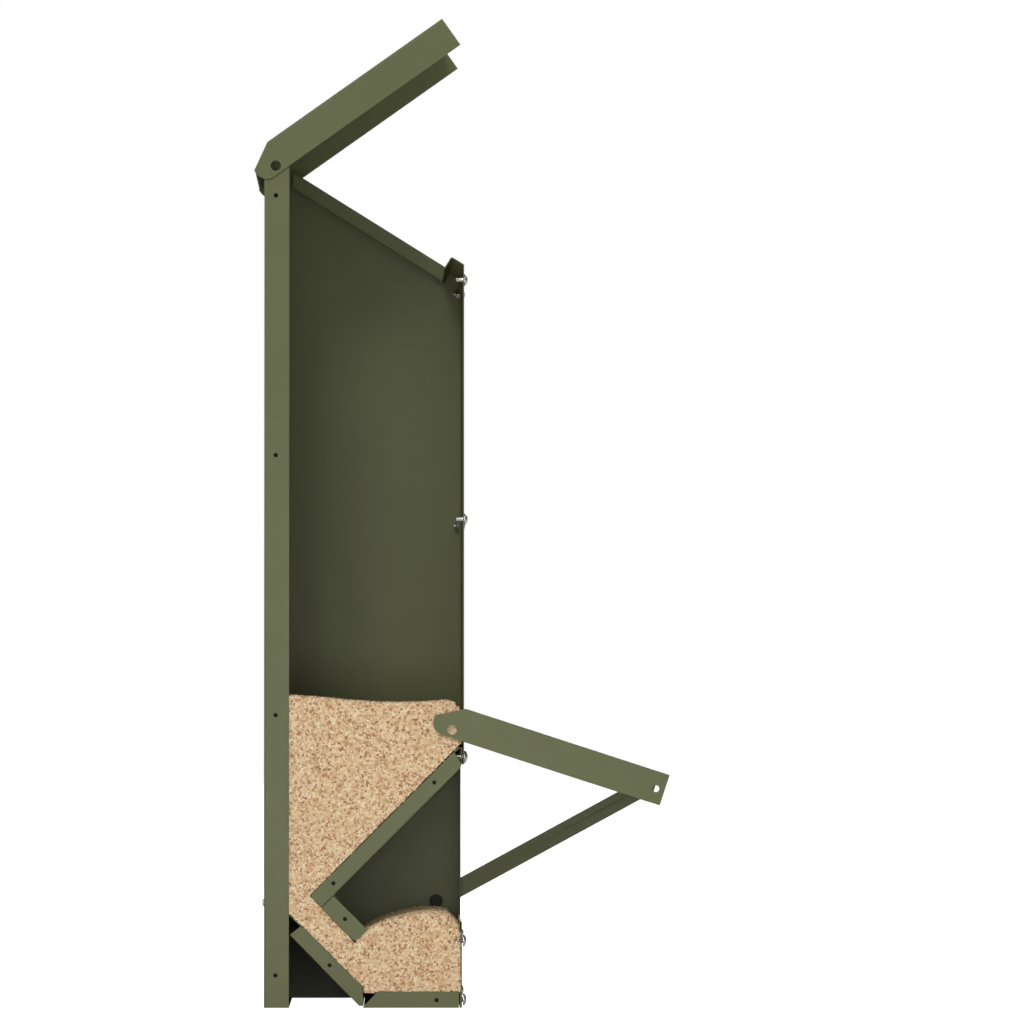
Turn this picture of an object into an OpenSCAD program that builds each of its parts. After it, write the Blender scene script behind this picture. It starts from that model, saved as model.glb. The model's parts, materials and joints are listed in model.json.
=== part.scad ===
// Gravity poultry feeder: a folded sheet-metal hopper with a hinged lid, inner plates that lead
// the feed down to a trough, and a hinged rain hood that two flat stays hold up over the trough.
//
// +Z is up, the front faces -Y, and +X is the right side seen from the front. The origin is on
// the ground, at the middle of the back panel's bottom flange. Side profiles are written as
// [s, z], where s is the distance forwards from the rear face of the back panel.

/* [Housing] */
// Width over the side panels
housing_w = 300; // [260:10:360]
// Depth from the back panel's rear face to the front panel's front face
housing_d = 200; // [196:2:210]
// Height of the side panels at the back
housing_h = 852; // [760:4:940]
// Slope of the lid seat in degrees
roof_slope = 32; // [30:1:34]
// Level stretch at the back of the side panels' top edge
roof_flat = 29.7; // [28:0.1:32]
// Thickness of every sheet
sheet = 1; // [0.8:0.1:1.2]
// Outer radius of the folds
fold_r = 2; // [1.6:0.1:2.4]
// Width of the back panel's side and bottom flanges
back_flange = 25; // [22:1:26]
// Width of the side panels' front flanges
seam_flange = 16; // [15:1:18]
// Width of the folded rim around the hopper mouth
rim_w = 15; // [12:1:16]
// Drop of the rim's inner lip
rim_lip = 13.5; // [8:0.5:14]

/* [Hopper] */
// Height of the front panel's bottom edge
front_bottom_z = 243; // [241:1:245]
// Height of the sloping baffle's top edge
baffle_top_z = 263.4; // [262:0.2:264]
// Length of the sloping baffle
baffle_len = 214.4; // [210:0.2:216]
// Length of the deflector below the baffle
deflector_len = 48.8; // [44:0.2:50]
// Width of the side flanges of the inner plates
plate_flange = 15.6; // [14:0.2:16]
// Height at which the rear chute's face meets the back panel
chute_top_z = 118.3; // [116:0.1:120]
// Level of the feed in the hopper
feed_level = 308; // [290:2:420]

/* [Trough] */
// Height of the trough's front lip
lip_h = 86.3; // [80:0.1:92]
// Height of the trough floor
floor_z = 15.8; // [15:0.1:17]

/* [Lid and rain hood] */
// Length of the lid and of the rain hood in front of their rear fold
cover_len = 214; // [205:1:220]
// Height of the cover skins above the hinge axis
cover_rise = 24.3; // [23.6:0.1:26]
// Depth of the cover flanges below the hinge axis
cover_drop = 7.8; // [7:0.1:8.4]
// Angle of the open lid above level, in degrees
lid_angle = 35.3; // [-30:0.1:70]
// Angle of the raised rain hood below level, in degrees
hood_angle = 18; // [16:1:40]
// Radius of the lid and hood pivot pins
pivot_r = 5.05; // [4.5:0.05:5.5]

/* [Stays] */
// Width of the flat stays
stay_w = 18; // [16:1:20]
// Thickness of the stays
stay_t = 2; // [1.5:0.1:2.5]
// Radius of the pins on which the stays turn
stay_pin_r = 4; // [3.5:0.1:4.2]
// Radius of the studs that hold up the rain hood
stud_r = 3; // [2.5:0.1:3.1]

/* [Hidden] */
$fn = 48;

olive = [0.40, 0.42, 0.30];
zinc = [0.78, 0.78, 0.76];
black_steel = [0.13, 0.13, 0.13];
nylon = [0.90, 0.90, 0.87];
grain = [0.82, 0.69, 0.54];

origin_s = back_flange / 2;

// Layers across the width, measured from the middle plane
panel_x = housing_w / 2;
inner_x = panel_x - sheet;
plate_x = inner_x - 0.1;
plate_in_x = plate_x - sheet;
relief_x = plate_in_x - 1.5;
washer_t = 0.9;
cover_in_x = panel_x + 1;
cover_x = cover_in_x + sheet;
pin_head_h = 1.6;
stay_x = cover_x + pin_head_h + 0.25;
pin_tip_x = inner_x - 1.4;
lid_pin_tip_x = plate_in_x - 2.2;
play = 0.05;

// Housing heights
back_h = housing_h - 2;
mouth_front_z = housing_h - (housing_d - sheet - roof_flat) * tan(roof_slope);
front_top_z = mouth_front_z - 2.9;
seam_top_z = front_top_z - 2.3;
rim_len = 185;
rim_path = [
    [back_flange + 0.6, housing_h], [roof_flat, housing_h],
    [roof_flat, housing_h] + turned([rim_len, 0], -roof_slope)
];
hem_back_s = housing_d - 5 * sheet;

// Hinge and pivot axes, as [s, z]
lid_axis = [11.4, housing_h - 10];
hood_axis = [housing_d - 12.2, 277.7];
stay_axis = [housing_d - 26.2, 100.3];
ear_back = 20.5;
ear_r = 12.5;
cover_fold_u = 7;
strip_angle = 30;
strip_len = 30.6;
stud_hole_r = stud_r + 0.3;
stud_uv = [cover_fold_u + cover_len - 8.9, 7];
stud_place = hood_axis + turned(stud_uv, -hood_angle);
stay_len = norm(stud_place - stay_axis);
stay_angle = atan2(stud_place[1] - stay_axis[1], stud_place[0] - stay_axis[0]);

// Inner plates, which all slope at 45 degrees
diagonal = [1, 1] / sqrt(2);
cross_diagonal = [1, -1] / sqrt(2);
baffle_top = [housing_d - 2.1, baffle_top_z];
baffle_low = baffle_top - baffle_len * diagonal;
baffle_heel = baffle_low + plate_flange * cross_diagonal;
joint_leg = 20.5;
joint_gap = 0.06;
baffle_toe = baffle_heel + joint_leg * diagonal;
deflector_head = baffle_heel - 0.9 * diagonal + joint_gap * cross_diagonal;
deflector_low = deflector_head + deflector_len * cross_diagonal;
joint_bolt_mid = 12.5;
chute_end_s = 98.9;
floor_back_s = chute_end_s + 1.1;
ramp_foot_z = 1;
ramp_top = [floor_back_s + 13, floor_z];

// Fasteners
m4_r = 2;
m4_hole_r = 2.15;
m4_len = 8;
m4_head = [4, 2.6];
m4_nut = [7, 3.2];
m4_cap = [3.1, 7];
m5_r = 2.5;
m5_hole_r = 2.65;
m5_len = 8;
m5_head = [6.25, 3.7];
m5_nut = [8, 4];
screw_s = 11.6;
back_screw_z = [for (i = [0:3]) 32.3 + i * (housing_h - 72) / 3];
plate_screws = [
    baffle_top + [-27.7, -38.4], baffle_low + [23.2, 12.5], deflector_low + [-10.2, 23],
    [65.7, 42.5], [housing_d - 27.5, 7.7]
];
seam_bolt_x = panel_x - seam_flange / 2;
seam_bolt_z = [8.3, 67, front_bottom_z + 7.5, front_top_z - 255, front_top_z - 15];
cross_bolt_x = 100;
chute_bolt_z = chute_top_z - 14.3;

// Unit vector of v
function unit(v) = v / norm(v);

// Vector v turned anticlockwise by an angle
function turned(v, a) = [v[0] * cos(a) - v[1] * sin(a), v[0] * sin(a) + v[1] * cos(a)];

// Right-hand normal of segment i of a path
function side_normal(p, i) = let (d = unit(p[i + 1] - p[i])) [d[1], -d[0]];

// Arc of radius r that rounds the corner b between the points a and c
function corner(a, b, c, r, steps) =
    let (
        u = unit(a - b),
        v = unit(c - b),
        half = acos(u * v) / 2,
        reach = r / tan(half),
        centre = b + unit(u + v) * r / sin(half),
        from = b + u * reach - centre,
        to = b + v * reach - centre
    )
    [for (i = [0:steps]) centre + r * unit(from * (1 - i / steps) + to * i / steps)];

// Open path whose inner corners are rounded
function bent(p, r = fold_r) = [
    for (i = [0:len(p) - 1])
        for (q = i == 0 || i == len(p) - 1 ? [p[i]] : corner(p[i - 1], p[i], p[i + 1], r, 3)) q
];

// Closed outline whose corners have the radii in list r
function eased(p, r) = let (n = len(p)) [
    for (i = [0:n - 1])
        for (q = r[i] == 0 ? [p[i]] : corner(p[(i + n - 1) % n], p[i], p[(i + 1) % n], r[i], 5)) q
];

// Point i of a path moved sideways by t, mitred at the bends
function moved(p, i, t) =
    i == 0 ? p[0] + t * side_normal(p, 0)
    : i == len(p) - 1 ? p[i] + t * side_normal(p, i - 1)
    : let (a = side_normal(p, i - 1), b = side_normal(p, i)) p[i] + t * (a + b) / (1 + a * b);

// Outline of a folded sheet: the path is one face, and t is the thickness to its right
function folded(p, t) = concat(p, [for (i = [len(p) - 1:-1:0]) moved(p, i, t)]);

// Extrudes an [s, z] outline across the width, from x over a distance w
module side_profile(x, w) {
    translate([x, origin_s, 0]) rotate([90, 0, 90]) linear_extrude(w) mirror([1, 0]) children();
}

// Extrudes an [s, z] outline over the middle part of the width
module full_width(half) {
    side_profile(-half, 2 * half) children();
}

// Extrudes an [x, s] outline upwards from z over a height h
module plan_profile(z, h) {
    translate([0, origin_s, z]) linear_extrude(h) mirror([0, 1]) children();
}

// Places children at [s, z] with their +Z along a direction given by its angle above forwards
module facing(x, p, angle) {
    translate([x, origin_s - p[0], p[1]]) rotate([90 - angle, 0, 0]) children();
}

// Cylinder along the width at [s, z], from x over a distance w
module cross_rod(p, r, x, w) {
    translate([x, origin_s - p[0], p[1]]) rotate([0, 90, 0]) cylinder(r = r, h = w);
}

// Bore through the whole width at [s, z]
module cross_bore(p, r) {
    cross_rod(p, r, -panel_x - 10, housing_w + 20);
}

// Bore through a front or rear sheet at every given x and z, from s over a depth
module through_bores(xs, zs, r, s, depth) {
    for (x = xs, z = zs) facing(x, [s, z], 0) cylinder(r = r, h = depth);
}

// Draws children on the right (side = 1) or mirrored on the left (side = -1)
module on_side(side) {
    if (side > 0) children();
    else mirror([1, 0, 0]) children();
}

module both_sides() {
    for (side = [-1, 1]) on_side(side) children();
}

// Side flange of an inner plate, drilled for its screw
module plate_cheek(outline, screw) {
    both_sides() difference() {
        side_profile(plate_in_x, sheet) polygon(outline);
        cross_bore(screw, m4_hole_r);
    }
}

module back_panel() {
    color(olive) difference() {
        union() {
            plan_profile(0, back_h) polygon(folded(bent([
                [-plate_x, back_flange], [-plate_x, 0], [plate_x, 0], [plate_x, back_flange]
            ]), -sheet));
            full_width(relief_x) translate([sheet / 2, 0]) square([back_flange - sheet / 2, sheet]);
            full_width(relief_x) translate([sheet / 2, back_h - sheet]) square([9.5, sheet]);
        }
        for (z = back_screw_z) cross_bore([screw_s, z], m4_hole_r);
        cross_bore(lid_axis, pivot_r + play);
        through_bores([-cross_bolt_x, cross_bolt_x], [chute_bolt_z], m4_hole_r, -1, 4);
    }
}

module side_panel(side) {
    seam_s = housing_d - sheet;
    color(olive) on_side(side) difference() {
        union() {
            side_profile(inner_x, sheet) polygon([
                [0, 0], [seam_s, 0], [seam_s, mouth_front_z], [roof_flat, housing_h], [0, housing_h]
            ]);
            side_profile(panel_x - seam_flange, seam_flange) translate([seam_s - sheet, 0])
                square([sheet, seam_top_z]);
            side_profile(panel_x - rim_w - sheet, rim_w + sheet) polygon(folded(rim_path, sheet));
            side_profile(panel_x - rim_w - sheet, sheet) polygon(folded(rim_path, rim_lip));
        }
        for (z = back_screw_z) cross_bore([screw_s, z], m4_hole_r);
        for (p = plate_screws) cross_bore(p, m4_hole_r);
        cross_bore(lid_axis, pivot_r + play);
        cross_bore(hood_axis, pivot_r + play);
        cross_bore(stay_axis, stay_pin_r + play);
        through_bores([seam_bolt_x], seam_bolt_z, m5_hole_r, housing_d - 5, 10);
    }
}

module front_panel() {
    rim_shelf = [-12.8, 7.9];
    rim_edge = turned([-rim_lip, 0], 90 - roof_slope);
    color(olive) difference() {
        union() {
            full_width(panel_x) translate([housing_d - sheet, front_bottom_z])
                square([sheet, seam_top_z + 1 - front_bottom_z]);
            full_width(plate_x) polygon(folded(bent([
                [housing_d, front_top_z - 20], [housing_d, front_top_z],
                [housing_d, front_top_z] + rim_shelf, [housing_d, front_top_z] + rim_shelf + rim_edge
            ]), -sheet));
        }
        through_bores(
            [-seam_bolt_x, seam_bolt_x], [for (i = [2:4]) seam_bolt_z[i]], m5_hole_r, housing_d - 5, 10
        );
    }
}

module trough_lip() {
    lip_s = housing_d - 2 * sheet;
    hem_r = sheet + 0.05;
    color(olive) difference() {
        full_width(plate_x) polygon(folded(bent([
            [lip_s, 0], [lip_s, lip_h], [hem_back_s, lip_h], [hem_back_s, lip_h - 10]
        ], hem_r), -sheet));
        through_bores(
            [-seam_bolt_x, seam_bolt_x], [seam_bolt_z[0], seam_bolt_z[1]], m5_hole_r, housing_d - 9, 12
        );
    }
}

module trough_floor() {
    front_s = housing_d - 3 * sheet - 0.1;
    color(olive) {
        difference() {
            union() {
                full_width(plate_x) translate([ramp_top[0] + 2, floor_z - sheet])
                    square([front_s - ramp_top[0] - 4, sheet]);
                full_width(relief_x) polygon(folded(bent([
                    [floor_back_s, ramp_foot_z], ramp_top, [front_s, floor_z], [front_s, 0]
                ]), sheet));
            }
            through_bores(
                [-seam_bolt_x, seam_bolt_x], [seam_bolt_z[0]], m5_hole_r, housing_d - 9, 12
            );
        }
        plate_cheek([
            [floor_back_s - 0.8, 0], [floor_back_s - 0.8, ramp_foot_z],
            ramp_top - [0.2, sheet / 2], [front_s - 2.1, floor_z - sheet / 2], [front_s - 2.1, 0]
        ], plate_screws[4]);
    }
}

module rear_chute() {
    face = chute_top_z + sheet;
    edge = face - plate_flange * sqrt(2);
    chute_foot = [chute_end_s, face - chute_end_s];
    wide_s = back_flange + 15;
    wide_end = chute_foot - 3 * cross_diagonal;
    color(olive) {
        difference() {
            full_width(relief_x) polygon(folded(bent([
                [sheet, chute_top_z - 25.3], [sheet, chute_top_z], chute_foot, [chute_end_s + 0.7, 2]
            ]), sheet));
            through_bores([-cross_bolt_x, cross_bolt_x], [chute_bolt_z], m4_hole_r, 0, 4);
        }
        full_width(plate_x) polygon([
            [wide_s, face - wide_s], wide_end, wide_end - sheet * diagonal,
            [wide_s, face - wide_s - sheet * sqrt(2)]
        ]);
        plate_cheek([
            [back_flange + 1.1, edge - back_flange + 0.7], [wide_s - 3.6, face - wide_s + 1.7],
            [wide_s, face - wide_s], wide_end, [chute_end_s - 0.1, floor_z], [chute_end_s + 0.3, 2],
            [chute_end_s - 3.6, 2]
        ], plate_screws[3]);
    }
}

module hopper_baffle() {
    seam_end = [baffle_top[0], front_bottom_z];
    color(olive) difference() {
        union() {
            full_width(relief_x) polygon(folded(bent([
                seam_end, baffle_top, baffle_low, baffle_heel, baffle_toe
            ]), -sheet));
            full_width(plate_x) polygon([
                baffle_low, baffle_top - 14 * diagonal, baffle_top - 14 * diagonal + sheet * cross_diagonal,
                baffle_low + sheet * cross_diagonal
            ]);
            plate_cheek(eased([
                baffle_low, baffle_top - 11.2 * diagonal, [baffle_top[0] - 0.5, front_bottom_z],
                [baffle_top[0] - 1.5, front_bottom_z - 3.1], baffle_heel
            ], [4, 0, 0, 0, 0]), plate_screws[0]);
        }
        for (i = [0:1]) cross_bore(plate_screws[i], m4_hole_r);
        through_bores([-seam_bolt_x, seam_bolt_x], [seam_bolt_z[2]], m5_hole_r, housing_d - 9, 12);
        for (x = [-cross_bolt_x, cross_bolt_x])
            facing(x, baffle_heel + joint_bolt_mid * diagonal - 3 * cross_diagonal, -45)
                cylinder(r = m4_hole_r, h = 6);
    }
}

module deflector() {
    cheek_w = 17.3;
    tip_r = 4;
    cheek_head = deflector_head + 1.2 * cross_diagonal;
    face_end = deflector_low - tip_r * cross_diagonal;
    color(olive) {
        difference() {
            full_width(relief_x) polygon(folded(bent([
                face_end, deflector_head, deflector_head + joint_leg * diagonal
            ]), sheet));
            for (x = [-cross_bolt_x, cross_bolt_x])
                facing(x, baffle_heel + joint_bolt_mid * diagonal - 3 * cross_diagonal, -45)
                    cylinder(r = m4_hole_r, h = 6);
        }
        full_width(plate_x) polygon([
            face_end, deflector_head + 2 * cross_diagonal,
            deflector_head + 2 * cross_diagonal + sheet * diagonal, face_end + sheet * diagonal
        ]);
        plate_cheek(eased([
            deflector_low, cheek_head, cheek_head + cheek_w * diagonal,
            deflector_low + cheek_w * diagonal
        ], [tip_r, 0, 2, 1]), plate_screws[2]);
    }
}

// Folded cover with side ears, hinged at axis and raised by angle; it is drawn level about its
// hinge axis, with u forwards and v upwards, and then turned
module cover(axis, angle, with_strip, with_stud_holes) {
    strip_end = [cover_fold_u, cover_rise] - strip_len * [cos(strip_angle), sin(strip_angle)];
    ear_top_v = cover_rise - (cover_fold_u + ear_back) * tan(strip_angle);
    ear_arc = [for (a = [180:10:270]) [ear_r - ear_back, ear_r - cover_drop] + turned([ear_r, 0], a)];
    translate([0, origin_s - axis[0], axis[1]]) rotate([-angle, 0, 0]) translate([0, -origin_s, 0])
        difference() {
            union() {
                facing(0, [cover_fold_u, 0], 0) linear_extrude(cover_len) polygon(folded(bent([
                    [-cover_x, -cover_drop], [-cover_x, cover_rise], [cover_x, cover_rise],
                    [cover_x, -cover_drop]
                ]), sheet));
                both_sides() side_profile(cover_in_x, sheet) polygon(concat(
                    [
                        [cover_fold_u + 2, -cover_drop], [cover_fold_u + 2, cover_rise - 4],
                        [cover_fold_u, cover_rise - 4], [cover_fold_u, cover_rise],
                        [-ear_back, ear_top_v]
                    ],
                    ear_arc
                ));
                if (with_strip) full_width(cover_x - fold_r)
                    polygon(folded([[cover_fold_u, cover_rise], strip_end], -sheet));
            }
            cross_bore([0, 0], pivot_r + play);
            if (with_stud_holes) cross_bore(stud_uv, stud_hole_r);
        }
}

module lid() {
    color(olive) cover(lid_axis, lid_angle, true, false);
}

module rain_hood() {
    color(olive) cover(hood_axis, -hood_angle, false, true);
}

module stay(side) {
    color(olive) on_side(side) difference() {
        side_profile(stay_x, stay_t) translate(stay_axis) rotate(stay_angle) {
            translate([0, -stay_w / 2]) square([stay_len, stay_w]);
            circle(r = stay_w / 2);
            translate([stay_len, 0]) circle(r = stay_w / 2);
        }
        cross_bore(stay_axis, stay_pin_r + play);
        cross_bore(stud_place, stud_r + play);
    }
}

// Stud pressed into the top of a stay, reaching inwards through the rain hood's flange
module stay_stud(side) {
    stud_in_x = cover_in_x - 0.4;
    color(zinc) on_side(side) {
        cross_rod(stud_place, stud_r, stud_in_x, stay_x + stay_t - stud_in_x);
        cross_rod(stud_place, stud_r + 2, stay_x + stay_t, 1.6);
    }
}

// Headed pin along the width: head outside x_head, shank reaching in to x_tip
module headed_pin(p, r, x_tip, x_head, head_r) {
    color(zinc) {
        cross_rod(p, r, x_tip, x_head - x_tip + 0.5);
        difference() {
            cross_rod(p, head_r, x_head, pin_head_h);
            cross_rod(p, head_r * 0.45, x_head + pin_head_h - 0.4, 1);
        }
    }
}

module lid_pivot(side) {
    on_side(side) headed_pin(lid_axis, pivot_r, lid_pin_tip_x, cover_x + play, pivot_r + 3);
}

module hood_pivot(side) {
    on_side(side) headed_pin(hood_axis, pivot_r, pin_tip_x, cover_x + play, pivot_r + 3);
}

module stay_pivot(side) {
    head_x = stay_x + stay_t + play;
    on_side(side) headed_pin(stay_axis, stay_pin_r, pin_tip_x, head_x, stay_pin_r + 3.5);
}

// Flat ring along the width
module ring(p, r_in, r_out, x, w) {
    difference() {
        cross_rod(p, r_out, x, w);
        cross_rod(p, r_in, x - 1, w + 2);
    }
}

module pivot_washers(side) {
    color(nylon) on_side(side) {
        for (p = [lid_axis, hood_axis]) ring(p, pivot_r + play, pivot_r + 3, panel_x, washer_t);
    }
}

module stay_spacer(side) {
    color(nylon) on_side(side)
        ring(stay_axis, stay_pin_r + play, stay_pin_r + 1.5, panel_x, stay_x - panel_x - 0.1);
}

// Push-on clip with a closed cap, standing against x_seat over a pin of radius r ending at x_tip
module capped_clip(p, r, r_out, x_seat, x_tip) {
    difference() {
        union() {
            cross_rod(p, r_out, x_seat - 1, 1);
            cross_rod(p, r + 0.8, x_tip - 1, x_seat - x_tip + 0.5);
        }
        cross_rod(p, r + 0.02, x_tip - 0.1, x_seat - x_tip + 1);
    }
}

module retaining_clips(side) {
    color(black_steel) on_side(side) {
        capped_clip(lid_axis, pivot_r, pivot_r + 1.8, plate_in_x, lid_pin_tip_x);
        capped_clip(hood_axis, pivot_r, pivot_r + 3.5, inner_x, pin_tip_x);
        capped_clip(stay_axis, stay_pin_r, stay_pin_r + 3, inner_x, pin_tip_x);
    }
}

// Low domed head of size [radius, height], standing on the plane z = 0
module domed_head(size, rim) {
    rise = size[1] - rim;
    dome_r = (size[0] * size[0] + rise * rise) / (2 * rise);
    intersection() {
        cylinder(r = size[0], h = size[1]);
        translate([0, 0, size[1] - dome_r]) sphere(r = dome_r);
    }
}

module cross_recess_screw() {
    translate([0, 0, -m4_len]) cylinder(r = m4_r, h = m4_len + 0.5);
    difference() {
        domed_head(m4_head, 1.2);
        for (a = [0, 90]) rotate(a) translate([-2.1, -0.45, m4_head[1] - 1.3]) cube([4.2, 0.9, 3]);
    }
}

module socket_bolt() {
    translate([0, 0, -m5_len]) cylinder(r = m5_r, h = m5_len + 0.5);
    difference() {
        domed_head(m5_head, 1);
        translate([0, 0, m5_head[1] - 2]) cylinder(r = 2.3, h = 3, $fn = 6);
    }
}

// Hexagon nut of size [width across flats, height], standing on the plane z = 0
module hex_nut(size, r) {
    difference() {
        cylinder(r = size[0] / sqrt(3), h = size[1], $fn = 6);
        translate([0, 0, -1]) cylinder(r = r + 0.02, h = size[1] + 2);
    }
}

// Captive nut with a closed end, reaching down from the plane z = 0
module closed_nut() {
    difference() {
        union() {
            translate([0, 0, -m4_nut[1]]) cylinder(r = m4_nut[0] / sqrt(3), h = m4_nut[1], $fn = 6);
            translate([0, 0, -m4_cap[1]]) cylinder(r = m4_cap[0], h = m4_cap[1] - 1);
        }
        translate([0, 0, 0.6 - m4_cap[1]]) cylinder(r = m4_r + 0.02, h = m4_cap[1]);
    }
}

// Front seam bolts: the two on the trough lip sit on the side panels' flanges
module front_bolts(side) {
    color(zinc) on_side(side) for (i = [0:4])
        facing(seam_bolt_x, [i < 2 ? housing_d - sheet : housing_d, seam_bolt_z[i]], 0) socket_bolt();
}

module front_nuts(side) {
    behind = [3 * sheet + 1.1, 3 * sheet, 3 * sheet + 0.1, 2 * sheet, 2 * sheet];
    color(zinc) on_side(side) for (i = [0:4])
        facing(seam_bolt_x, [housing_d - behind[i], seam_bolt_z[i]], 180) hex_nut(m5_nut, m5_r);
}

module at_side_screws() {
    for (p = concat([for (z = back_screw_z) [screw_s, z]], plate_screws))
        translate([0, origin_s - p[0], p[1]]) rotate([0, 90, 0]) children();
}

module side_screws(side) {
    color(zinc) on_side(side) translate([panel_x, 0, 0]) at_side_screws() cross_recess_screw();
}

module side_nuts(side) {
    color(black_steel) on_side(side) translate([plate_in_x, 0, 0]) at_side_screws() closed_nut();
}

module chute_screws() {
    color(zinc) for (x = [-cross_bolt_x, cross_bolt_x])
        facing(x, [0, chute_bolt_z], 180) cross_recess_screw();
}

module chute_nuts() {
    color(zinc) for (x = [-cross_bolt_x, cross_bolt_x])
        facing(x, [2 * sheet, chute_bolt_z], 0) hex_nut(m4_nut, m4_r);
}

module deflector_screws() {
    color(zinc) for (x = [-cross_bolt_x, cross_bolt_x])
        facing(x, baffle_heel + joint_bolt_mid * diagonal + (sheet + 2 * joint_gap) * cross_diagonal, -45)
            cross_recess_screw();
}

module deflector_nuts() {
    color(zinc) for (x = [-cross_bolt_x, cross_bolt_x])
        facing(x, baffle_heel + joint_bolt_mid * diagonal - sheet * cross_diagonal, 135)
            hex_nut(m4_nut, m4_r);
}

// Loose feed that fills the hopper up to its level and lies heaped in the trough
module feed() {
    skin = 0.5;
    back_s = sheet + skin;
    front_s = housing_d - 2 * sheet - skin;
    lip_back_s = housing_d - 3 * sheet - skin - 0.1;
    floor_top = floor_z + skin;
    chute_face = chute_top_z + sheet + 1.5 * skin;
    swell = 4;
    brow = [15.5, 12];
    surface = [
        for (i = [0:22]) let (
            s = back_s + (front_s - back_s) * sin(90 * i / 22),
            past = max(0, s - front_s + brow[0]) / brow[0]
        )
            [s, feed_level + swell * cos(1.35 * s) - brow[1] * past * past]
    ];
    mound_start = [deflector_low[0] + 11, 77];
    mound_end_s = hem_back_s - skin;
    mound_size = [66, 17];
    verge = [19, 10];
    mound = [
        for (i = [0:8]) let (
            s = mound_start[0] + i * (mound_end_s - mound_start[0]) / 8,
            grown = pow((s - mound_start[0]) / mound_size[0], 0.9),
            past = max(0, s - mound_end_s + verge[0]) / verge[0]
        )
            [s, mound_start[1] + mound_size[1] * sin(90 * grown) - verge[1] * past * past]
    ];
    color(grain) difference() {
        full_width(plate_in_x - skin) polygon(concat(
            surface,
            [
                [front_s, baffle_top_z + 1.5], baffle_top + [-1, 1], baffle_low - 1.4 * skin * cross_diagonal,
                baffle_low - 1.5 * skin * [1, 0], deflector_low - 2 * skin * diagonal,
                deflector_low + 2 * skin * cross_diagonal, deflector_low + [1.5, 1.5],
                [deflector_low[0] - 7.5, 76.5]
            ],
            mound,
            [
                [mound_end_s, lip_h - 11], [lip_back_s, lip_h - 11],
                [lip_back_s, floor_top], [ramp_top[0] + skin, floor_top],
                [ramp_top[0] - 2.6, floor_z - 1.2], [chute_end_s + 0.6 + skin, floor_z - 0.8],
                [chute_end_s + skin, chute_face - chute_end_s - skin],
                [back_s + 1.5, chute_face - back_s - 1.5], [back_s, chute_top_z + 3]
            ]
        ));
        both_sides() {
            cross_rod([screw_s, back_screw_z[1]], 5, plate_in_x - m4_cap[1] - 1, 20);
            cross_rod(hood_axis, pivot_r + 1.4, pin_tip_x - 1.5, 20);
            facing(seam_bolt_x, [housing_d, seam_bolt_z[1]], 180) cylinder(r = 5.6, h = 10);
        }
    }
}

back_panel();
side_panel(-1);  // side_panel_left
side_panel(1);  // side_panel_right
front_panel();
trough_lip();
trough_floor();
rear_chute();
hopper_baffle();
deflector();
lid();
rain_hood();
stay(-1);  // stay_left
stay(1);  // stay_right
stay_stud(-1);  // stay_stud_left
stay_stud(1);  // stay_stud_right
lid_pivot(-1);  // lid_pivot_left
lid_pivot(1);  // lid_pivot_right
hood_pivot(-1);  // hood_pivot_left
hood_pivot(1);  // hood_pivot_right
stay_pivot(-1);  // stay_pivot_left
stay_pivot(1);  // stay_pivot_right
pivot_washers(-1);  // pivot_washers_left
pivot_washers(1);  // pivot_washers_right
stay_spacer(-1);  // stay_spacer_left
stay_spacer(1);  // stay_spacer_right
retaining_clips(-1);  // retaining_clips_left
retaining_clips(1);  // retaining_clips_right
front_bolts(-1);  // front_bolts_left
front_bolts(1);  // front_bolts_right
front_nuts(-1);  // front_nuts_left
front_nuts(1);  // front_nuts_right
side_screws(-1);  // side_screws_left
side_screws(1);  // side_screws_right
side_nuts(-1);  // side_nuts_left
side_nuts(1);  // side_nuts_right
chute_screws();
chute_nuts();
deflector_screws();
deflector_nuts();
feed();
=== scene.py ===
"""Gravity poultry feeder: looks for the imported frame.

The folded sheets, bolts, clips and washers are the frame's own nodes with weld and bevel
modifiers and procedural finishes. The feed is rebuilt here as the frame's bulk in a crumb finish
with thousands of separate grains. Lengths are in metres, and places come from the frame's boxes.
"""
import json
import math

import bpy
import numpy as np
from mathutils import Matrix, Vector


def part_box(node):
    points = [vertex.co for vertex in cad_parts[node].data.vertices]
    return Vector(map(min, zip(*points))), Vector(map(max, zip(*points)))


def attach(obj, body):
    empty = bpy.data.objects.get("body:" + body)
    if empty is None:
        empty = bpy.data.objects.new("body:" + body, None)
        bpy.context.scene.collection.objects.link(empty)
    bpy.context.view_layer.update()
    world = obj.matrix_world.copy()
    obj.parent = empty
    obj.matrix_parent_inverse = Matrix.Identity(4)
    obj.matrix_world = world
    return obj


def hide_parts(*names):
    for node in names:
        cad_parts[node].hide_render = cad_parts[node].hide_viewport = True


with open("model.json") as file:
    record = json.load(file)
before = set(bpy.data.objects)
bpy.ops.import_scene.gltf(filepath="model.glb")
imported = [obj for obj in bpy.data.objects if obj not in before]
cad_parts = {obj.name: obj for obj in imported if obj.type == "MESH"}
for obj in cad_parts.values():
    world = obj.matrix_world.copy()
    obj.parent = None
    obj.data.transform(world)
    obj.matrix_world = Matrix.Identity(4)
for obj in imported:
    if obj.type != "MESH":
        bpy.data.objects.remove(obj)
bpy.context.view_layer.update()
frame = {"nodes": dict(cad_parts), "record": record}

NODES = frame["nodes"]
SLOT_OF = {part["node"]: part["material_slot"] for part in frame["record"]["subparts"]}
MM = 0.001
WHITE = (1.0, 1.0, 1.0, 1.0)

# Grains of feed
GRAIN_SIZE = 1.3 * MM
SIDE_SPACING = 1.15
TOP_SPACING = 1.5
GRAIN_REACH = np.array([1.15, 0.4, 2.5]) * MM
SEED = 20

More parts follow.
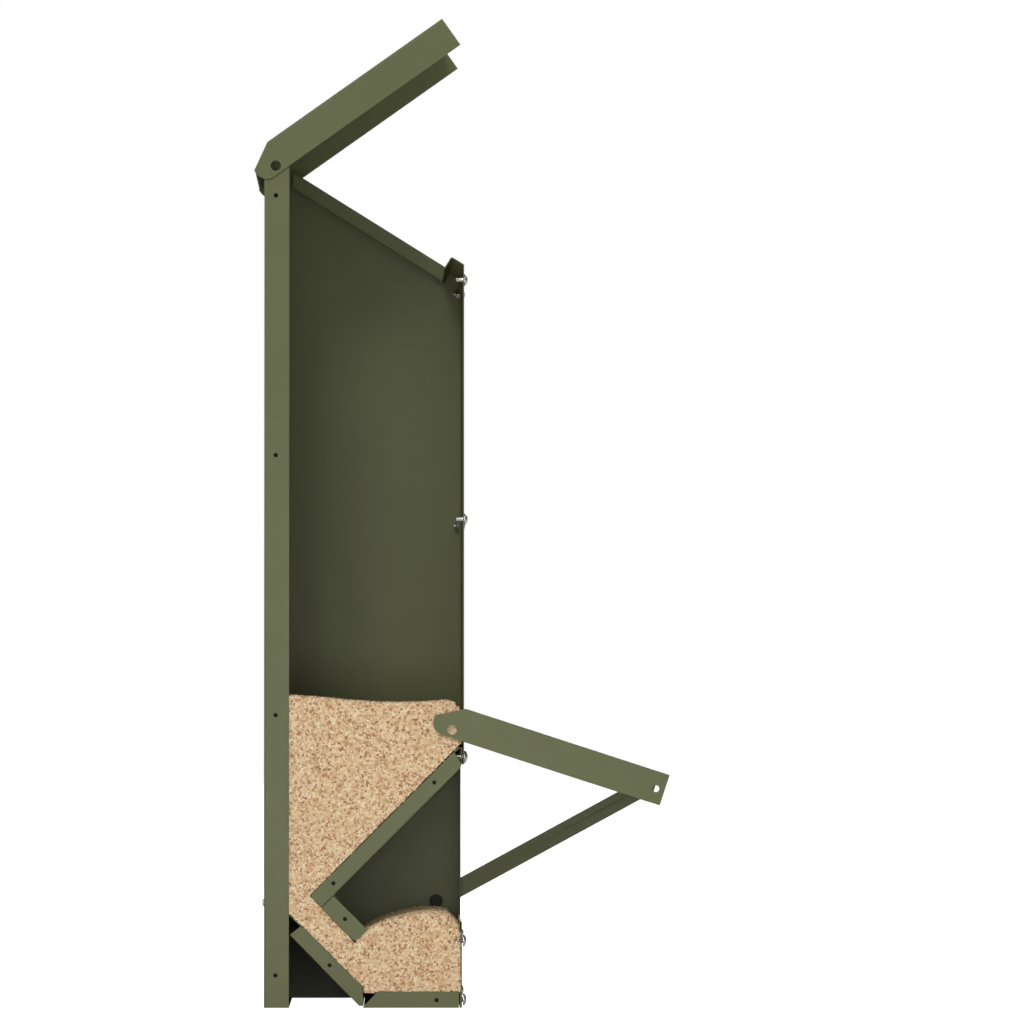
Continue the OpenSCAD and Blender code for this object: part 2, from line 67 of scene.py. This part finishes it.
# Floor and sky
FLOOR_HALF = 30.0
FLOOR_DROP = 0.2 * MM
FLOOR_GLOW = 1.0
SKY_ALL = 0.17
SKY_SIDE = 0.5

# Camera: distance from the left side panel, then eye and aim as parts of its depth and height
CAMERA_DISTANCE = 8.247
EYE_DEPTH, EYE_HEIGHT = 0.609, 0.335
AIM_DEPTH, AIM_HEIGHT = 1.2455, 0.5814
LENS = 290.0
SENSOR = 36.0

# ---------------------------------------------------------------- materials


def srgb(red, green, blue):
    """Linear RGBA of a display colour given from 0 to 1."""
    def linear(value):
        return value / 12.92 if value <= 0.04045 else ((value + 0.055) / 1.055) ** 2.4
    return (linear(red), linear(green), linear(blue), 1.0)


class Finish:
    """A procedural material in object coordinates, with short helpers for its nodes."""

    def __init__(self, name):
        self.material = bpy.data.materials.new(name)
        self.material.use_nodes = True
        self.nodes = self.material.node_tree.nodes
        self.links = self.material.node_tree.links
        self.shader = self.nodes["Principled BSDF"]
        self.place = self.nodes.new("ShaderNodeTexCoord").outputs["Object"]

    def node(self, kind, inputs=None, **settings):
        made = self.nodes.new(kind)
        for key, value in settings.items():
            setattr(made, key, value)
        for key, value in (inputs or {}).items():
            if isinstance(value, bpy.types.NodeSocket):
                self.links.new(value, made.inputs[key])
            else:
                made.inputs[key].default_value = value
        return made

    def noise(self, scale, detail=2.0, roughness=0.5, stretch=None):
        """Noise with about `scale` features in a metre."""
        place = self.place
        if stretch:
            place = self.node("ShaderNodeMapping", {"Vector": place, "Scale": stretch}).outputs[0]
        return self.node("ShaderNodeTexNoise", {
            "Vector": place, "Scale": scale, "Detail": detail, "Roughness": roughness,
        }).outputs["Fac"]

    def ramp(self, value, stops):
        """Colour ramp with stops as (position, colour)."""
        made = self.node("ShaderNodeValToRGB", {"Fac": value})
        band = made.color_ramp
        while len(band.elements) < len(stops):
            band.elements.new(0.5)
        for element, (position, colour) in zip(band.elements, stops):
            element.position = position
            element.color = colour
        return made.outputs["Color"]

    def remap(self, value, low, high, from_low=0.0, from_high=1.0):
        return self.node("ShaderNodeMapRange", {
            "Value": value, "From Min": from_low, "From Max": from_high,
            "To Min": low, "To Max": high,
        }).outputs["Result"]

    def mix(self, factor, first, second, mode="MIX"):
        made = self.node("ShaderNodeMix", data_type="RGBA", blend_type=mode)
        for socket, value in ((made.inputs[0], factor), (made.inputs[6], first), (made.inputs[7], second)):
            if isinstance(value, bpy.types.NodeSocket):
                self.links.new(value, socket)
            else:
                socket.default_value = value
        return made.outputs[2]

    def bump(self, height, strength, distance, under=None):
        inputs = {"Height": height, "Strength": strength, "Distance": distance}
        if under is not None:
            inputs["Normal"] = under
        return self.node("ShaderNodeBump", inputs).outputs["Normal"]

    def set(self, **values):
        """Sets or links inputs of the main shader, named with underscores for spaces."""
        for key, value in values.items():
            socket = self.shader.inputs[key.replace("_", " ")]
            if isinstance(value, bpy.types.NodeSocket):
                self.links.new(value, socket)
            else:
                socket.default_value = value
        return self.material


def powder_coat():
    """Olive powder coat: fine orange peel, slow ripple, faint cloudiness and pale specks."""
    coat = Finish("olive_powder_coat")
    cloud = coat.noise(9.0, 3.0)
    colour = coat.ramp(cloud, [
        (0.30, srgb(0.391, 0.411, 0.255)),
        (0.70, srgb(0.413, 0.433, 0.273)),
    ])
    speck = coat.remap(coat.noise(2600.0, 1.0), 0.0, 1.0, 0.66, 0.78)
    colour = coat.mix(speck, colour, srgb(0.47, 0.49, 0.37))
    peel = coat.noise(620.0, 2.0, 0.45)
    ripple = coat.noise(34.0, 1.0)
    normal = coat.bump(ripple, 0.10, 0.9 * MM)
    normal = coat.bump(peel, 0.22, 0.10 * MM, normal)
    rough = coat.remap(coat.noise(48.0, 4.0, 0.6), 0.40, 0.54)
    return coat.set(Base_Color=colour, Roughness=rough, Normal=normal, Specular_IOR_Level=0.42)


def zinc_plate():
    """Bright zinc plate: cloudy brightness, fine scratches and a rough grain."""
    zinc = Finish("bright_zinc_plate")
    cloud = zinc.noise(420.0, 3.0)
    colour = zinc.ramp(cloud, [
        (0.25, srgb(0.70, 0.71, 0.71)),
        (0.75, srgb(0.90, 0.90, 0.89)),
    ])
    scratch = zinc.noise(900.0, 2.0, 0.5, (0.2, 1.0, 1.0))
    normal = zinc.bump(scratch, 0.25, 0.05 * MM)
    rough = zinc.remap(cloud, 0.16, 0.34)
    return zinc.set(Base_Color=colour, Roughness=rough, Metallic=1.0, Normal=normal)


def black_steel():
    """Black phosphated steel: matt, with a faint crystalline mottle."""
    steel = Finish("black_phosphated_steel")
    tint = steel.ramp(steel.noise(700.0, 3.0), [
        (0.3, srgb(0.10, 0.10, 0.10)),
        (0.7, srgb(0.16, 0.16, 0.155)),
    ])
    normal = steel.bump(steel.noise(3000.0, 2.0), 0.25, 0.03 * MM)
    return steel.set(Base_Color=tint, Roughness=0.55, Metallic=0.4, Normal=normal)


def nylon():
    """Natural nylon: slightly translucent white with moulding grain."""
    plastic = Finish("natural_nylon")
    tint = plastic.ramp(plastic.noise(300.0), [
        (0.3, srgb(0.84, 0.83, 0.78)),
        (0.7, srgb(0.92, 0.91, 0.87)),
    ])
    normal = plastic.bump(plastic.noise(2400.0, 2.0), 0.2, 0.05 * MM)
    return plastic.set(
        Base_Color=tint, Roughness=0.5, Normal=normal, Subsurface_Weight=0.15, Subsurface_Scale=1.0 * MM
    )


def grain_finish(name, per_grain):
    """Cracked grain: wheat to tan, some husks red-brown, each grain with its own tone."""
    feed = Finish(name)
    patch = feed.noise(160.0, 3.0, 0.6)
    if per_grain:
        tone = feed.node("ShaderNodeNewGeometry").outputs["Random Per Island"]
    else:
        cell = feed.node("ShaderNodeTexVoronoi", {"Vector": feed.place, "Scale": 380.0})
        tone = feed.node("ShaderNodeSeparateColor", {"Color": cell.outputs["Color"]}).outputs[0]
    colour = feed.ramp(tone, [
        (0.00, srgb(0.68, 0.50, 0.39)),
        (0.10, srgb(0.82, 0.65, 0.51)),
        (0.35, srgb(0.93, 0.80, 0.64)),
        (0.70, srgb(0.98, 0.89, 0.73)),
        (1.00, srgb(1.00, 0.96, 0.84)),
    ])
    shade = feed.ramp(patch, [(0.3, srgb(0.93, 0.89, 0.85)), (0.65, srgb(1.0, 1.0, 1.0))])
    colour = feed.mix(0.8, colour, shade, "MULTIPLY")
    fleck = feed.remap(feed.noise(1500.0, 2.0), 0.0, 0.45, 0.62, 0.75)
    colour = feed.mix(fleck, colour, srgb(0.62, 0.42, 0.30))
    normal = feed.bump(feed.noise(2200.0, 3.0, 0.6), 0.35, 0.25 * MM)
    return feed.set(Base_Color=colour, Roughness=0.78, Normal=normal, Specular_IOR_Level=0.25)


def floor_finish():
    """Plain pale floor with a faint mottle."""
    floor = Finish("pale_floor")
    tint = floor.ramp(floor.noise(3.0, 2.0), [
        (0.3, srgb(0.84, 0.84, 0.84)),
        (0.7, srgb(0.87, 0.87, 0.86)),
    ])
    seen = floor.node("ShaderNodeLightPath").outputs["Is Camera Ray"]
    glow = floor.remap(seen, 0.0, FLOOR_GLOW)
    return floor.set(
        Base_Color=tint, Roughness=0.9, Emission_Color=WHITE, Emission_Strength=glow
    )


FINISHES = {
    "coated_sheet": powder_coat(),
    "zinc": zinc_plate(),
    "black_steel": black_steel(),
    "nylon": nylon(),
    "feed": grain_finish("feed_bulk", per_grain=False),
}
EDGE_ROUND = {
    "coated_sheet": 0.30 * MM,
    "zinc": 0.18 * MM,
    "black_steel": 0.15 * MM,
    "nylon": 0.12 * MM,
}
MERGE_DISTANCE = 0.001 * MM
FLAT_ANGLE = math.radians(0.5)
SHARP_ANGLE = math.radians(35.0)

# ---------------------------------------------------------------- frame nodes


def soften(node, width, merge_flats):
    """Welds a node's split vertices, merges its flat triangles if asked and rounds its edges."""
    weld = node.modifiers.new("weld", "WELD")
    weld.merge_threshold = MERGE_DISTANCE
    if merge_flats:
        flatten = node.modifiers.new("flatten", "DECIMATE")
        flatten.decimate_type = "DISSOLVE"
        flatten.angle_limit = FLAT_ANGLE
    bevel = node.modifiers.new("edge", "BEVEL")
    bevel.width = width
    bevel.segments = 2
    bevel.limit_method = "ANGLE"
    bevel.angle_limit = SHARP_ANGLE
    bevel.use_clamp_overlap = True
    bevel.harden_normals = True


for name, node in NODES.items():
    slot = SLOT_OF[name]
    node.data.materials.clear()
    node.data.materials.append(FINISHES[slot])
    if slot in EDGE_ROUND:
        soften(node, EDGE_ROUND[slot], merge_flats=name == "back_panel")

# ---------------------------------------------------------------- feed

random = np.random.default_rng(SEED)


def triangles_of(mesh):
    """Corner positions of a mesh's triangles as an array of shape (count, 3, 3)."""
    mesh.calc_loop_triangles()
    points = np.empty(len(mesh.vertices) * 3)
    mesh.vertices.foreach_get("co", points)
    corners = np.empty(len(mesh.loop_triangles) * 3, dtype=np.int32)
    mesh.loop_triangles.foreach_get("vertices", corners)
    return points.reshape(-1, 3)[corners].reshape(-1, 3, 3)


def scatter(triangles, spacing):
    """Random points over triangles, one per square of side `spacing`."""
    cross = np.cross(triangles[:, 1] - triangles[:, 0], triangles[:, 2] - triangles[:, 0])
    area = np.linalg.norm(cross, axis=1) / 2
    count = int(area.sum() / spacing ** 2)
    picked = random.choice(len(triangles), count, p=area / area.sum())
    first = np.sqrt(random.random(count))
    second = random.random(count)
    weights = np.stack([1 - first, first * (1 - second), first * second], axis=1)
    return np.einsum("nc,ncx->nx", weights, triangles[picked])


def spread_out(points, spacing):
    """Thins points so that no two are closer than `spacing`, taking them in turn."""
    kept = []
    cells = {}
    keys = np.floor(points / spacing).astype(int)
    for point, key in zip(points, keys):
        near = False
        for dx in (-1, 0, 1):
            for dy in (-1, 0, 1):
                for dz in (-1, 0, 1):
                    for other in cells.get((key[0] + dx, key[1] + dy, key[2] + dz), ()):
                        if np.sum((other - point) ** 2) < spacing ** 2:
                            near = True
                            break
        if not near:
            kept.append(point)
            cells.setdefault(tuple(key), []).append(point)
    return np.array(kept)


def icosahedron():
    """Vertices and faces of a unit icosahedron."""
    golden = (1 + math.sqrt(5)) / 2
    corners = []
    for a in (-1, 1):
        for b in (-golden, golden):
            corners += [(0, a, b), (a, b, 0), (b, 0, a)]
    points = np.array(corners) / math.sqrt(1 + golden ** 2)
    faces = []
    for i in range(12):
        for j in range(i + 1, 12):
            for k in range(j + 1, 12):
                trio = points[[i, j, k]]
                sides = [np.linalg.norm(trio[m] - trio[(m + 1) % 3]) for m in range(3)]
                if max(sides) < 1.1:
                    outward = np.dot(np.cross(trio[1] - trio[0], trio[2] - trio[0]), trio[0]) > 0
                    faces.append((i, j, k) if outward else (i, k, j))
    return points, np.array(faces)


def random_turns(count):
    """Random rotation matrices."""
    quaternion = random.normal(size=(count, 4))
    w, x, y, z = (quaternion / np.linalg.norm(quaternion, axis=1)[:, None]).T
    return np.stack([
        1 - 2 * (y * y + z * z), 2 * (x * y - z * w), 2 * (x * z + y * w),
        2 * (x * y + z * w), 1 - 2 * (x * x + z * z), 2 * (y * z - x * w),
        2 * (x * z - y * w), 2 * (y * z + x * w), 1 - 2 * (x * x + y * y),
    ], axis=1).reshape(-1, 3, 3)


def grain_mesh(name, centres, size, low, high):
    """One mesh of lumpy grains at the centres, kept inside the box from low to high."""
    shape, faces = icosahedron()
    count = len(centres)
    lumps = shape[None] * (1 + 0.22 * random.normal(size=(count, len(shape), 1)).clip(-1.6, 1.6))
    stretch = np.stack([
        random.uniform(0.95, 1.55, count), random.uniform(0.75, 1.0, count), random.uniform(0.55, 0.9, count)
    ], axis=1)
    grown = size * random.uniform(0.75, 1.25, count)[:, None, None]
    points = np.einsum("nab,nvb->nva", random_turns(count), lumps * stretch[:, None] * grown)
    points = np.clip(points + centres[:, None], low, high).reshape(-1, 3)
    corners = (faces[None] + np.arange(count)[:, None, None] * len(shape)).reshape(-1, 3)
    mesh = bpy.data.meshes.new(name)
    mesh.from_pydata(points.tolist(), [], corners.tolist())
    mesh.validate()
    piece = bpy.data.objects.new(name, mesh)
    bpy.context.scene.collection.objects.link(piece)
    return piece


def feed_faces(triangles, high):
    """Which triangles of the feed's solid get grains: its cut sides, its top and the mound."""
    normals = np.cross(triangles[:, 1] - triangles[:, 0], triangles[:, 2] - triangles[:, 0])
    normals /= np.linalg.norm(normals, axis=1)[:, None] + 1e-12
    middle = triangles.mean(axis=1)
    baffle_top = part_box("hopper_baffle")[1].z
    deflector_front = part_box("deflector")[0].y
    on_side = (np.abs(normals[:, 0]) > 0.9) & (np.abs(np.abs(middle[:, 0]) - high[0]) < MM)
    on_top = (normals[:, 2] > 0.8) & (middle[:, 2] > baffle_top + 20 * MM)
    in_trough = (middle[:, 1] < deflector_front + 2 * MM) & (middle[:, 2] < baffle_top - 60 * MM)
    return {
        "feed_grains_side": on_side,
        "feed_grains_top": on_top,
        "feed_grains_trough": (normals[:, 2] > 0.5) & in_trough,
    }


def make_grains(name, triangles, low, high, material):
    """One layer of separate grains over triangles of the feed, which spans from low to high."""
    on_side = name == "feed_grains_side"
    spacing = GRAIN_SIZE * (SIDE_SPACING if on_side else TOP_SPACING)
    points = scatter(triangles, spacing * 0.8)
    points = spread_out(points, spacing)
    points += random.normal(0, 0.25 * MM, points.shape)
    if on_side:
        points[:, 0] = np.sign(points[:, 0]) * (high[0] - random.uniform(0, 0.6 * MM, len(points)))
    piece = grain_mesh(name, points, GRAIN_SIZE, low - GRAIN_REACH * [1, 1, 0], high + GRAIN_REACH)
    piece.data.materials.append(material)
    return piece


def make_feed():
    """Bulk of feed from the frame's solid, with separate grains on every face that can be seen."""
    low, high = (np.array(corner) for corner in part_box("feed"))
    bulk = bpy.data.objects.new("feed_bulk", NODES["feed"].data.copy())
    bpy.context.scene.collection.objects.link(bulk)
    bulk.data.materials.clear()
    bulk.data.materials.append(FINISHES["feed"])
    loose = grain_finish("feed_grain", per_grain=True)
    triangles = triangles_of(NODES["feed"].data)
    made = [bulk]
    for name, mask in feed_faces(triangles, high).items():
        made.append(make_grains(name, triangles[mask], low, high, loose))
    for piece in made:
        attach(piece, "housing")
    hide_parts("feed")


make_feed()

# ---------------------------------------------------------------- stage and camera

panel_low, panel_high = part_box("side_panel_left")
DEPTH = panel_high.y - panel_low.y
HEIGHT = panel_high.z


def area_light(name, place, target, size, power):
    """Soft square light at place, facing target."""
    lamp = bpy.data.lights.new(name, "AREA")
    lamp.shape = "SQUARE"
    lamp.size = size
    lamp.energy = power
    holder = bpy.data.objects.new(name, lamp)
    holder.location = place
    holder.rotation_euler = (target - place).to_track_quat("-Z", "Y").to_euler()
    bpy.context.scene.collection.objects.link(holder)
    return holder


def make_camera():
    """Long lens from the left side, level with the lower third of the housing."""
    eye = Vector((panel_low.x - CAMERA_DISTANCE, panel_high.y - EYE_DEPTH * DEPTH, EYE_HEIGHT * HEIGHT))
    aim = Vector((panel_low.x, panel_high.y - AIM_DEPTH * DEPTH, AIM_HEIGHT * HEIGHT))
    camera = bpy.data.cameras.new("camera")
    camera.lens = LENS
    camera.sensor_width = SENSOR
    camera.clip_start = 0.1
    camera.clip_end = 100.0
    holder = bpy.data.objects.new("camera", camera)
    holder.location = eye
    holder.rotation_euler = (aim - eye).to_track_quat("-Z", "Y").to_euler()
    bpy.context.scene.collection.objects.link(holder)
    bpy.context.scene.camera = holder
    return holder


def make_floor():
    """White floor, just under the feeder's feet."""
    corners = [(x * FLOOR_HALF, y * FLOOR_HALF, 0) for x, y in ((-1, -1), (1, -1), (1, 1), (-1, 1))]
    mesh = bpy.data.meshes.new("floor")
    mesh.from_pydata(corners, [], [(0, 1, 2, 3)])
    floor = bpy.data.objects.new("floor", mesh)
    floor.location.z = -FLOOR_DROP
    floor.data.materials.append(floor_finish())
    bpy.context.scene.collection.objects.link(floor)


def make_world():
    """World that looks white to the camera and lights softly, most from the left side."""
    world = bpy.data.worlds.new("studio")
    world.use_nodes = True
    tree = world.node_tree
    back = tree.nodes["Background"]
    back.inputs["Color"].default_value = WHITE
    direction = tree.nodes.new("ShaderNodeTexCoord")
    split = tree.nodes.new("ShaderNodeSeparateXYZ")
    side = tree.nodes.new("ShaderNodeMapRange")
    side.interpolation_type = "SMOOTHSTEP"
    side.inputs["From Min"].default_value = 0.0
    side.inputs["From Max"].default_value = -0.8
    side.inputs["To Min"].default_value = SKY_ALL
    side.inputs["To Max"].default_value = SKY_SIDE
    seen = tree.nodes.new("ShaderNodeLightPath")
    level = tree.nodes.new("ShaderNodeMix")
    level.inputs[3].default_value = 1.0
    tree.links.new(direction.outputs["Generated"], split.inputs["Vector"])
    tree.links.new(split.outputs["X"], side.inputs["Value"])
    tree.links.new(seen.outputs["Is Camera Ray"], level.inputs[0])
    tree.links.new(side.outputs["Result"], level.inputs[2])
    tree.links.new(level.outputs[0], back.inputs["Strength"])
    bpy.context.scene.world = world
    bpy.context.scene.view_settings.view_transform = "Standard"
    bpy.context.scene.view_settings.look = "None"


camera = make_camera()
make_floor()
make_world()

# ---------------------------------------------------------------- cutaway

STAYS_ON = ("front_bolts_left", "side_nuts_left")
CUT_AWAY = [name for name in NODES if name.endswith("_left") and name not in STAYS_ON]
RAYS = ("camera", "diffuse", "glossy", "transmission", "shadow")


def hide_from(piece, viewpoint, camera):
    """Hides a piece from every kind of ray, but only while the camera stands at the viewpoint."""
    for ray in RAYS:
        driver = piece.driver_add("visible_" + ray).driver
        driver.type = "SUM"
        variable = driver.variables.new()
        variable.name = "apart"
        variable.type = "LOC_DIFF"
        variable.targets[0].id = camera
        variable.targets[1].id = viewpoint


def cut_away(camera):
    """Takes the near side off for the camera's own place, and leaves it on from anywhere else."""
    viewpoint = bpy.data.objects.new("cutaway_viewpoint", None)
    viewpoint.location = camera.location
    bpy.context.scene.collection.objects.link(viewpoint)
    for name in CUT_AWAY:
        hide_from(NODES[name], viewpoint, camera)


cut_away(camera)

# ---------------------------------------------------------------- lights

middle = Vector((0, (panel_low.y + panel_high.y) / 2, HEIGHT / 2))
foot = middle - Vector((0, 0, 0.4))
area_light("key", middle + Vector((-4.8, 1.0, 3.2)), middle, 1.3, 79.0)
low_side = area_light("low_side", middle + Vector((-1.9, 0.0, -0.4)), foot, 0.6, 7.6)
low_side.visible_camera = False
area_light("right", middle + Vector((5.0, -1.0, 2.5)), middle, 3.0, 150.0)
area_light("front", middle + Vector((0.8, -4.2, 4.6)), middle, 2.0, 95.0)
area_light("rear", middle + Vector((0.8, 5.5, 2.5)), middle, 2.5, 75.0)
